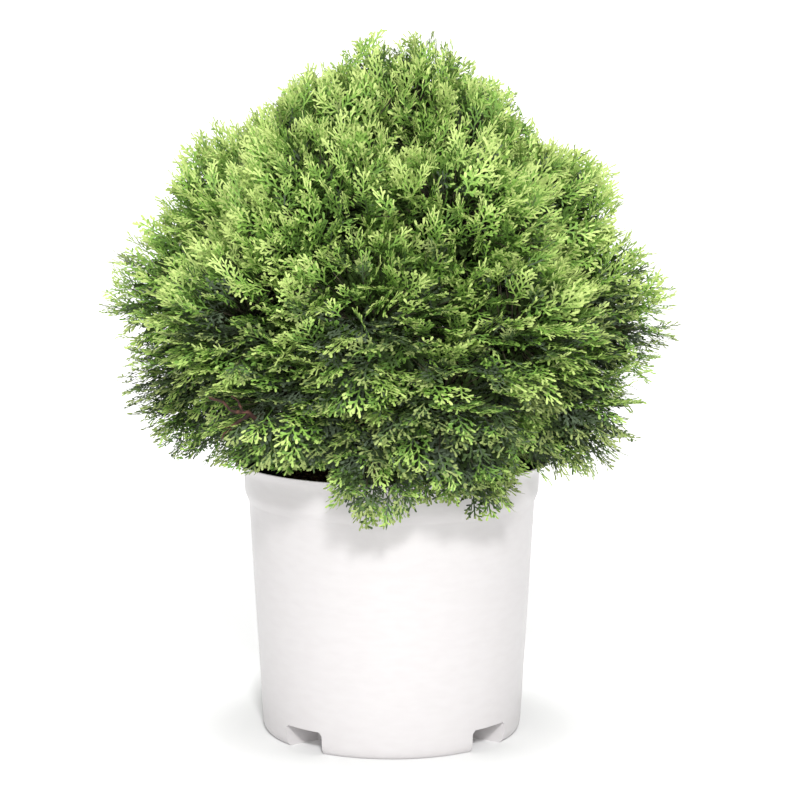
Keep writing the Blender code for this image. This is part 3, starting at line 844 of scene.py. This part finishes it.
def mesh_object(name, points, faces):
    """A mesh from arrays: points as rows of three, faces as rows of equal length."""
    points = np.ascontiguousarray(points, dtype=np.float32)
    faces = np.ascontiguousarray(faces, dtype=np.int32)
    corners = faces.shape[1]
    mesh = bpy.data.meshes.new(name)
    mesh.vertices.add(len(points))
    mesh.vertices.foreach_set("co", points.ravel())
    mesh.loops.add(faces.size)
    mesh.loops.foreach_set("vertex_index", faces.ravel())
    mesh.polygons.add(len(faces))
    mesh.polygons.foreach_set("loop_start", np.arange(0, faces.size, corners, dtype=np.int32))
    mesh.polygons.foreach_set("loop_total", np.full(len(faces), corners, dtype=np.int32))
    mesh.update(calc_edges=True)
    mesh.validate()
    return add_object(name, mesh)


def leaf_pieces(tint, chunks):
    """The joined meshes of one tint, each under the piece limit."""
    leaves = np.concatenate(chunks)
    pieces = []
    for k, start in enumerate(range(0, len(leaves), PIECE_LEAVES)):
        part = leaves[start : start + PIECE_LEAVES]
        starts = LEAF_POINTS * np.arange(len(part))[:, None, None]
        faces = (LEAF_FACES[None] + starts).reshape(-1, 3)
        pieces.append(mesh_object(f"shoots_{tint}_{k + 1}", part.reshape(-1, 3), faces))
    return pieces


def add_limb(points, faces, path, radii, sides, relief):
    """Adds the points and faces of a tapering limb along a path, closed at both ends."""
    first = len(points)
    across = None
    for k, (centre, radius) in enumerate(zip(path, radii)):
        ahead = (path[min(k + 1, len(path) - 1)] - path[max(k - 1, 0)]).normalized()
        if across is None:
            across = ahead.orthogonal().normalized()
        across = (across - ahead * across.dot(ahead)).normalized()
        beside = ahead.cross(across)
        for s in range(sides):
            angle = math.tau * s / sides
            way = across * math.cos(angle) + beside * math.sin(angle)
            grown = radius * (1 + (relief(centre + way * radius) if relief else 0))
            points.append(centre + way * grown)
    last = len(points) - sides
    for low in range(first, last, sides):
        for s in range(sides):
            n = (s + 1) % sides
            faces.append((low + s, low + n, low + sides + n, low + sides + s))
    faces += [(first + (s + 1) % sides, first + s, last + sides) for s in range(sides)]
    faces += [(last + s, last + (s + 1) % sides, last + sides + 1) for s in range(sides)]
    points += [path[0], path[-1]]


def joined_limbs(name, limbs, relief=None):
    """One mesh of many limbs, each a (path, radii, sides)."""
    points, faces = [], []
    for path, radii, sides in limbs:
        add_limb(points, faces, path, radii, sides, relief)
    mesh = bpy.data.meshes.new(name)
    mesh.from_pydata([tuple(point) for point in points], [], faces)
    mesh.update()
    mesh.polygons.foreach_set("use_smooth", np.ones(len(mesh.polygons), dtype=bool))
    return add_object(name, mesh)


def bark_relief(spot):
    """Fibrous bark: long shallow strips that run up the limb, with fine flakes."""
    total = 0
    for depth, across, along, aside, up in BARK_LAYERS:
        place = Vector((spot.x * across + aside, spot.y * across, spot.z * along + up))
        total += depth * noise.noise(place)
    return total


def make_trunk(top):
    low = SOIL_TOP - TRUNK_SUNK
    count = int((top - low) / BARK_STEP)
    heights = [low + (top - low) * k / count for k in range(count + 1)]
    path = [trunk_axis(height, top) for height in heights]
    radii = [trunk_radius(max(height, SOIL_TOP), top) for height in heights]
    return joined_limbs("trunk_bark", [(path, radii, TRUNK_BARK_SIDES)], bark_relief)


def make_boughs(lobes, top):
    limbs = []
    for lobe in lobes:
        if lobe.name == "top":
            continue
        handles, _ = bough_handles(lobe, top)
        length = (handles[-1] - handles[0]).length
        steps = max(LEAST_BOUGH_STEPS, int(length / BARK_STEP / BOUGH_BARK_STRETCH))
        path, radii = bough_path(lobe, top, steps)
        swells = [1 + ROOT_SWELL * math.exp(-k / ROOT_SWELL_STEPS) for k in range(len(radii))]
        swollen = [radius * swell for radius, swell in zip(radii, swells)]
        limbs.append((path, swollen, BOUGH_BARK_SIDES))
    return joined_limbs("boughs_bark", limbs, bark_relief)


def pot_profile():
    """(radius, height) points of the wall: the outside up to the lip, then the inside down."""
    outside = [(0.0, 0.0), (FOOT_FLAT, 0.0), (FOOT_RADIUS, 0.0)]
    spread = BODY_FOOT - FOOT_RADIUS
    for k in range(1, FOOT_STEPS + 1):
        a = math.pi / 2 * k / FOOT_STEPS
        outside.append((FOOT_RADIUS + spread * math.sin(a), FOOT_ROUND * (1 - math.cos(a))))
    for k in range(1, BODY_STEPS + 1):
        t = k / BODY_STEPS
        radius = BODY_FOOT + (BODY_RADIUS - BODY_FOOT) * t
        outside.append((radius, FOOT_ROUND + (BODY_HEIGHT - FOOT_ROUND) * t))
    foot = [(BODY_FOOT - POT_WALL, FOOT_ROUND + POT_WALL), (FOOT_RADIUS - POT_WALL, POT_WALL)]
    return [*outside, *COLLAR, *LIP], [*COLLAR_INSIDE, *foot, (0.0, POT_WALL)]


def turned(name, profile):
    """A mesh of revolution about Z from (radius, height) points that start and end on the axis."""
    mesh = bmesh.new()
    rings = []
    for radius, height in profile:
        if radius == 0:
            rings.append([mesh.verts.new((0, 0, height))] * POT_SIDES)
            continue
        turns = [math.tau * k / POT_SIDES for k in range(POT_SIDES)]
        rings.append([mesh.verts.new((radius * math.cos(a), radius * math.sin(a), height)) for a in turns])
    for below, above in zip(rings, rings[1:]):
        for k in range(POT_SIDES):
            n = (k + 1) % POT_SIDES
            mesh.faces.new(dict.fromkeys((below[k], below[n], above[n], above[k])))
    data = bpy.data.meshes.new(name)
    mesh.to_mesh(data)
    mesh.free()
    return add_object(name, data)


def recess(index, spread):
    """A wedge under the foot, larger on every side by a spread."""
    half_in, half_out = RECESS_WIDTH_IN / 2 + spread, RECESS_WIDTH_OUT / 2 + spread
    high = RECESS_HEIGHT + spread
    shoulder = high - RECESS_SHOULDER
    points = []
    for out, half in ((RECESS_BACK - spread, half_in), (RECESS_FRONT, half_out)):
        top = half - RECESS_SHOULDER
        side = [(half, -CUTTER_OVERRUN), (half, shoulder), (top, high)]
        around = [(-across, height) for across, height in reversed(side)] + side
        points += [(out, across, height) for across, height in around]
    count = len(points) // 2
    faces = [(k, (k + 1) % count, (k + 1) % count + count, k + count) for k in range(count)]
    faces += [tuple(reversed(range(count))), tuple(range(count, 2 * count))]
    data = bpy.data.meshes.new("recess")
    data.from_pydata(points, [], faces)
    data.transform(Matrix.Rotation(RECESS_FIRST + math.tau * index / RECESS_COUNT, 4, "Z"))
    return add_object("recess", data)


def drain(index):
    angle = RECESS_FIRST + math.tau * index / RECESS_COUNT
    bpy.ops.mesh.primitive_cylinder_add(vertices=DRAIN_SIDES, radius=DRAIN_RADIUS, depth=DRAIN_DEPTH)
    made = bpy.context.object
    place = (DRAIN_PLACE * math.cos(angle), DRAIN_PLACE * math.sin(angle), RECESS_HEIGHT)
    made.data.transform(Matrix.Translation(place))
    return made


def cut(target, cutters):
    for cutter in cutters:
        modifier = target.modifiers.new("Cut", "BOOLEAN")
        modifier.operation = "DIFFERENCE"
        modifier.solver = "EXACT"
        modifier.object = cutter
    graph = bpy.context.evaluated_depsgraph_get()
    baked = bpy.data.meshes.new_from_object(target.evaluated_get(graph))
    target.modifiers.clear()
    target.data = baked
    for cutter in cutters:
        bpy.data.objects.remove(cutter)


def is_dark(face):
    """Whether a face of the pot is on its floor, or on its inside over the recesses."""
    centre, normal = face.center, face.normal
    inward = normal.x * centre.x + normal.y * centre.y < -1e-6
    held = inward and math.hypot(centre.x, centre.y) < DARK_RADIUS
    floor = abs(centre.z - POT_WALL) < 1e-4 and normal.z > 0.9
    return (held and centre.z > RECESS_HEIGHT + DARK_RISE) or floor


def make_pot(outside_skin, inside_skin):
    outside, inside = pot_profile()
    pot = turned("pot_shell", [*outside, (0.0, POT_HEIGHT)])
    above = [(LIP_TOP_RADIUS, POT_HEIGHT), (LIP_TOP_RADIUS, HOLLOW_TOP), (0.0, HOLLOW_TOP)]
    hollow = turned("pot_hollow", [*reversed(inside), *above])
    cut(hollow, [recess(k, POT_WALL) for k in range(RECESS_COUNT)])
    drains = [drain(k) for k in range(RECESS_COUNT)]
    cut(pot, [hollow, *[recess(k, 0) for k in range(RECESS_COUNT)], *drains])
    pot.data.materials.clear()
    pot.data.materials.append(outside_skin)
    pot.data.materials.append(inside_skin)
    for face in pot.data.polygons:
        face.material_index = 1 if is_dark(face) else 0
        face.use_smooth = True
    pot.data.update()
    return pot


def add_sharp_edges(made):
    """Marks the sharp edges, so that smooth shading stops there."""
    shape = bmesh.new()
    shape.from_mesh(made.data)
    for edge in shape.edges:
        if len(edge.link_faces) == 2:
            edge.smooth = edge.calc_face_angle(0) < SHARP_EDGE
    shape.to_mesh(made.data)
    shape.free()


def mound(radius, reach):
    """How much higher than its edge the soil is, for a mound of some reach."""
    return SOIL_MOUND * (1 - (radius / reach) ** 2)


def make_soil():
    """Lumpy ground inside the pot, up to the wall."""
    points = [(0, 0, SOIL_TOP)]
    faces = []
    for k in range(1, SOIL_RINGS + 1):
        radius = SOIL_REACH * k / SOIL_RINGS
        for s in range(SOIL_SIDES):
            a = math.tau * s / SOIL_SIDES
            x, y = radius * math.cos(a), radius * math.sin(a)
            lumps = noise.noise(Vector((x * LUMP_GRAIN, y * LUMP_GRAIN, 0)))
            crumbs = noise.noise(Vector((x * CRUMB_GRAIN, y * CRUMB_GRAIN, 5)))
            relief = SOIL_LUMPS * (lumps + CRUMB_SHARE * crumbs)
            points.append((x, y, SOIL_TOP + mound(radius, SOIL_REACH) + relief))
    for s in range(SOIL_SIDES):
        faces.append((0, 1 + s, 1 + (s + 1) % SOIL_SIDES))
    for k in range(SOIL_RINGS - 1):
        low = 1 + k * SOIL_SIDES
        for s in range(SOIL_SIDES):
            n = (s + 1) % SOIL_SIDES
            faces.append((low + s, low + SOIL_SIDES + s, low + SOIL_SIDES + n, low + n))
    mesh = bpy.data.meshes.new("soil_surface")
    mesh.from_pydata(points, [], faces)
    mesh.update()
    return add_object("soil_surface", mesh)


def make_chips():
    """Bark chips and crumbs that lie on the soil."""
    rng = random.Random(SEED + 1)
    points, quads = [], []
    for k in range(CHIP_COUNT):
        radius = CHIP_FIELD * math.sqrt(rng.random())
        a = rng.uniform(0, math.tau)
        long = rng.uniform(*CHIP_LENGTHS)
        size = np.array((long, long * rng.uniform(*CHIP_WIDTHS), long * rng.uniform(*CHIP_THICKNESSES)))
        uneven = np.array([[rng.uniform(*CHIP_CORNERS) for _ in range(3)] for _ in BOX_CORNERS])
        spin = Matrix.Rotation(rng.uniform(0, math.tau), 3, "Z")
        tilt = Matrix.Rotation(rng.uniform(-CHIP_TILT, CHIP_TILT), 3, "X")
        height = SOIL_TOP + mound(radius, CHIP_MOUND) + CHIP_LIFT
        place = np.array((radius * math.cos(a), radius * math.sin(a), height))
        points.append(BOX_CORNERS * size * uneven @ np.array(spin @ tilt).T + place)
        quads.append(BOX_FACES + len(BOX_CORNERS) * k)
    return mesh_object("bark_chips", np.concatenate(points), np.concatenate(quads))


# Materials


class Skin:
    """A material being put together: a Principled shader and helpers for its nodes."""

    def __init__(self, name, colour, roughness, **settings):
        self.material = bpy.data.materials.new(name)
        self.material.use_nodes = True
        self.tree = self.material.node_tree
        self.shader = self.tree.nodes["Principled BSDF"]
        self.shader.inputs["Base Color"].default_value = (*colour, 1)
        self.shader.inputs["Roughness"].default_value = roughness
        for socket, value in settings.items():
            self.shader.inputs[socket.replace("_", " ")].default_value = value

    def node(self, kind, **values):
        made = self.tree.nodes.new(kind)
        for key, value in values.items():
            if key in made.inputs:
                made.inputs[key].default_value = value
            else:
                setattr(made, key, value)
        return made

    def link(self, source, target):
        self.tree.links.new(source, target)

    def place(self, scale=(1, 1, 1)):
        """Object coordinates, scaled."""
        where = self.node("ShaderNodeTexCoord")
        mapped = self.node("ShaderNodeMapping", Scale=scale)
        self.link(where.outputs["Object"], mapped.inputs["Vector"])
        return mapped.outputs["Vector"]

    def noise(self, scale, detail, stretch=(1, 1, 1)):
        texture = self.node("ShaderNodeTexNoise", Scale=scale, Detail=detail)
        self.link(self.place(stretch), texture.inputs["Vector"])
        return texture.outputs["Fac"]

    def colours(self, factor, *stops):
        """Base colour, by a factor, from stops of (factor, colour)."""
        made = self.node("ShaderNodeValToRGB")
        ramp = made.color_ramp
        while len(ramp.elements) < len(stops):
            ramp.elements.new(0.5)
        for element, (spot, colour) in zip(ramp.elements, stops):
            element.position = spot
            element.color = (*colour, 1)
        self.link(factor, made.inputs["Fac"])
        self.link(made.outputs["Color"], self.shader.inputs["Base Color"])

    def roughness(self, factor, low, high):
        made = self.node("ShaderNodeMapRange", **{"To Min": low, "To Max": high})
        self.link(factor, made.inputs["Value"])
        self.link(made.outputs["Result"], self.shader.inputs["Roughness"])

    def bump(self, height, strength, distance):
        """Adds relief on top of what is already there."""
        made = self.node("ShaderNodeBump", Strength=strength, Distance=distance)
        self.link(height, made.inputs["Height"])
        normal = self.shader.inputs["Normal"]
        if normal.is_linked:
            self.link(normal.links[0].from_socket, made.inputs["Normal"])
        self.link(made.outputs["Normal"], normal)


def shoot_skin(tint):
    skin = Skin("shoots_" + tint, TINTS[tint], 0.52, Specular_IOR_Level=0.24)
    skin.roughness(skin.noise(140, 3), 0.42, 0.66)
    skin.bump(skin.noise(900, 2), 0.35, 0.0004)
    return skin.material


def bark_skin(name, colours, stretch):
    dark, middle, light = colours
    skin = Skin(name, middle, 0.85)
    strips = skin.noise(260, 5, stretch)
    skin.colours(strips, (0.30, dark), (0.52, middle), (0.75, light))
    skin.bump(strips, 0.6, 0.0008)
    return skin.material


def pot_skin():
    dark, middle, light = POT_WHITES
    skin = Skin("white_pot_plastic", middle, 0.34, IOR=1.49)
    skin.colours(skin.noise(60, 6, (1, 1, 3)), (0.30, dark), (0.62, light))
    skin.roughness(skin.noise(25, 4), 0.28, 0.42)
    skin.bump(skin.noise(9, 2), 0.25, 0.003)
    skin.bump(skin.noise(1500, 2), 0.08, 0.0001)
    return skin.material


def pot_inside_skin():
    dark, middle, light = POT_DARKS
    skin = Skin("dark_pot_inside", middle, 0.26)
    skin.colours(skin.noise(70, 5), (0.35, dark), (0.70, light))
    skin.roughness(skin.noise(40, 4), 0.24, 0.45)
    skin.bump(skin.noise(12, 2), 0.3, 0.002)
    return skin.material


def soil_skin(name, colours):
    dark, light = colours
    skin = Skin(name, dark, 0.95)
    crumbs = skin.noise(320, 8)
    skin.colours(crumbs, (0.35, dark), (0.70, light))
    skin.bump(crumbs, 0.9, 0.002)
    return skin.material


# Stage, light and camera


def make_stage():
    bpy.ops.mesh.primitive_circle_add(vertices=FLOOR_SIDES, radius=FLOOR_RADIUS, fill_type="NGON")
    floor = bpy.context.object
    floor.name = "floor"
    skin = Skin("pale_floor", FLOOR_COLOUR, 0.9, Emission_Color=WHITE)
    away = skin.node("ShaderNodeVectorMath", operation="LENGTH")
    skin.link(skin.place(), away.inputs["Vector"])
    glow = skin.node("ShaderNodeMapRange", interpolation_type="SMOOTHSTEP", **FLOOR_GLOW)
    skin.link(away.outputs["Value"], glow.inputs["Value"])
    skin.link(glow.outputs["Result"], skin.shader.inputs["Emission Strength"])
    floor.data.materials.append(skin.material)
    world = bpy.data.worlds.new("studio")
    world.use_nodes = True
    background = world.node_tree.nodes["Background"]
    background.inputs["Color"].default_value = WHITE
    background.inputs["Strength"].default_value = WORLD_STRENGTH
    bpy.context.scene.world = world
    bpy.context.scene.view_settings.view_transform = "Standard"


def make_sun(name, strength, spread, towards):
    data = bpy.data.lights.new(name, "SUN")
    data.energy = strength
    data.angle = math.radians(spread)
    sun = add_object(name, data)
    sun.rotation_euler = Vector(towards).to_track_quat("-Z", "Y").to_euler()


def make_camera():
    data = bpy.data.cameras.new("camera")
    data.lens = CAMERA_LENS
    data.sensor_width = SENSOR
    data.clip_end = CAMERA_FAR
    camera = add_object("camera", data)
    camera.location = CAMERA_PLACE
    camera.rotation_euler = (math.pi / 2 - CAMERA_TILT, 0, 0)
    bpy.context.scene.camera = camera


def kept(piece, skin, material_slot, *nodes):
    """Hands a piece over with its skin and the nodes that it replaces."""
    if skin:
        piece.data.materials.append(skin)
    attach(piece, "root")
    if nodes:
        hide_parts(*nodes)


def grow_crown(lobes):
    rng = random.Random(SEED + 2)
    templates = {
        shape: {length: [frond(length, shape, rng) for _ in range(TEMPLATES)] for length in LENGTHS}
        for shape in (FAN, PLUME, COARSE)
    }
    crown = Crown()
    for lobe in lobes:
        grow_lobe(crown, lobe, lobes, templates)
    return crown


def main():
    make_camera()
    make_stage()
    make_sun("key_light", *KEY_LIGHT)
    make_sun("fill_light", *FILL_LIGHT)

    lobes = make_lobes()
    top = lobes[0].entry.z - GAP
    place_roots(lobes, top)

    pot = make_pot(pot_skin(), pot_inside_skin())
    add_sharp_edges(pot)
    kept(pot, None, "pot", "pot")
    kept(make_soil(), soil_skin("potting_soil", SOIL_COLOURS), "soil", "soil")
    kept(make_chips(), soil_skin("bark_chips", CHIP_COLOURS), "soil")

    bark = bark_skin("red_brown_bark", BARK_COLOURS, BARK_STRETCH)
    boughs = ["bough_" + lobe.name for lobe in lobes if lobe.name != "top"]
    kept(make_trunk(top), bark, "bark", "trunk")
    kept(make_boughs(lobes, top), bark, "bark", *boughs)

    crown = grow_crown(lobes)
    branch_bark = bark_skin("branch_bark", BRANCH_COLOURS, BRANCH_STRETCH)
    kept(joined_limbs("bare_branches", bare_branches(lobes)), branch_bark, "bark")
    twig_bark = bark_skin("twig_bark", TWIG_COLOURS, BARK_STRETCH)
    kept(joined_limbs("twigs", crown.twigs), twig_bark, "bark")
    masses = ["foliage_" + lobe.name for lobe in lobes]
    for tint, chunks in crown.leaves.items():
        skin = shoot_skin(tint)
        for piece in leaf_pieces(tint, chunks):
            kept(piece, skin, "foliage", *masses)


main()
